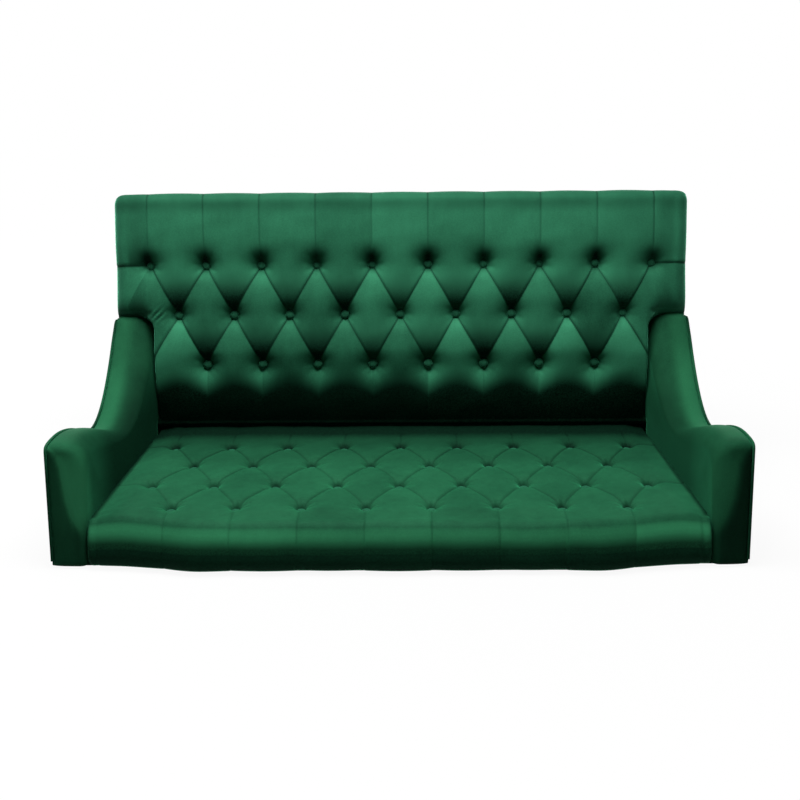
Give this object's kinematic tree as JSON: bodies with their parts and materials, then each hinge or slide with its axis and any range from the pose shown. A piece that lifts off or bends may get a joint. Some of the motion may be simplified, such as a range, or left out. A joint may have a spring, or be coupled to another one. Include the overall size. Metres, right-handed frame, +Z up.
{
  "type": "wingback loveseat",
  "caption": "Diamond-tufted velvet wingback loveseat body: leaning buttoned back, bow-front buttoned seat, swooping arms and steel leg plates beneath.",
  "frame": {"origin": "middle of the bounding box in plan, at the underside of the leg plates", "axes": "+X to the right seen from the front, +Y to the rear, +Z up; the seat faces -Y"},
  "size_m": [1.27, 0.72, 0.6078],
  "materials": {
    "green_velvet": "short-pile velvet, deep emerald green",
    "cream_foam": "open-cell polyurethane foam",
    "beech": "planed, unfinished",
    "birch_ply": "sanded plywood",
    "jute_webbing": "plain-woven jute",
    "black_lining": "non-woven lining cloth",
    "zinc_steel": "bright zinc plate"
  },
  "bodies": {
    "root": {"seat_front_rail": "beech", "seat_rear_rail": "beech", "left_side_rail": "beech", "right_side_rail": "beech", "seat_centre_stretcher": "beech", "front_left_corner_block": "beech", "front_right_corner_block": "beech", "rear_left_corner_block": "beech", "rear_right_corner_block": "beech", "front_left_leg_plate": "zinc_steel", "front_right_leg_plate": "zinc_steel", "rear_left_leg_plate": "zinc_steel", "rear_right_leg_plate": "zinc_steel", "dust_cover": "black_lining", "seat_strap_1": "jute_webbing", "seat_strap_2": "jute_webbing", "seat_strap_3": "jute_webbing", "seat_strap_4": "jute_webbing", "seat_strap_5": "jute_webbing", "seat_strap_6": "jute_webbing", "seat_strap_7": "jute_webbing", "seat_long_strap_1": "jute_webbing", "seat_long_strap_2": "jute_webbing", "seat_long_strap_3": "jute_webbing", "seat_deck_cloth": "black_lining", "seat_foam": "cream_foam", "seat_front_edge_pad": "cream_foam", "seat_tufted_cover": "green_velvet", "left_back_post": "beech", "right_back_post": "beech", "back_bottom_rail": "beech", "back_middle_rail": "beech", "back_top_rail": "beech", "left_post_bolt": "zinc_steel", "right_post_bolt": "zinc_steel", "back_strap_1": "jute_webbing", "back_strap_2": "jute_webbing", "back_strap_3": "jute_webbing", "back_strap_4": "jute_webbing", "back_strap_5": "jute_webbing", "back_foam": "cream_foam", "back_tufted_cover": "green_velvet", "outside_back_panel": "green_velvet", "left_arm_panel": "birch_ply", "left_arm_front_post": "beech", "left_arm_dowel": "beech", "left_arm_foam": "cream_foam", "left_arm_cover": "green_velvet", "left_outside_arm_panel": "green_velvet", "left_arm_welt": "green_velvet", "right_arm_panel": "birch_ply", "right_arm_front_post": "beech", "right_arm_dowel": "beech", "right_arm_foam": "cream_foam", "right_arm_cover": "green_velvet", "right_outside_arm_panel": "green_velvet", "right_arm_welt": "green_velvet"}
  },
  "joints": []
}
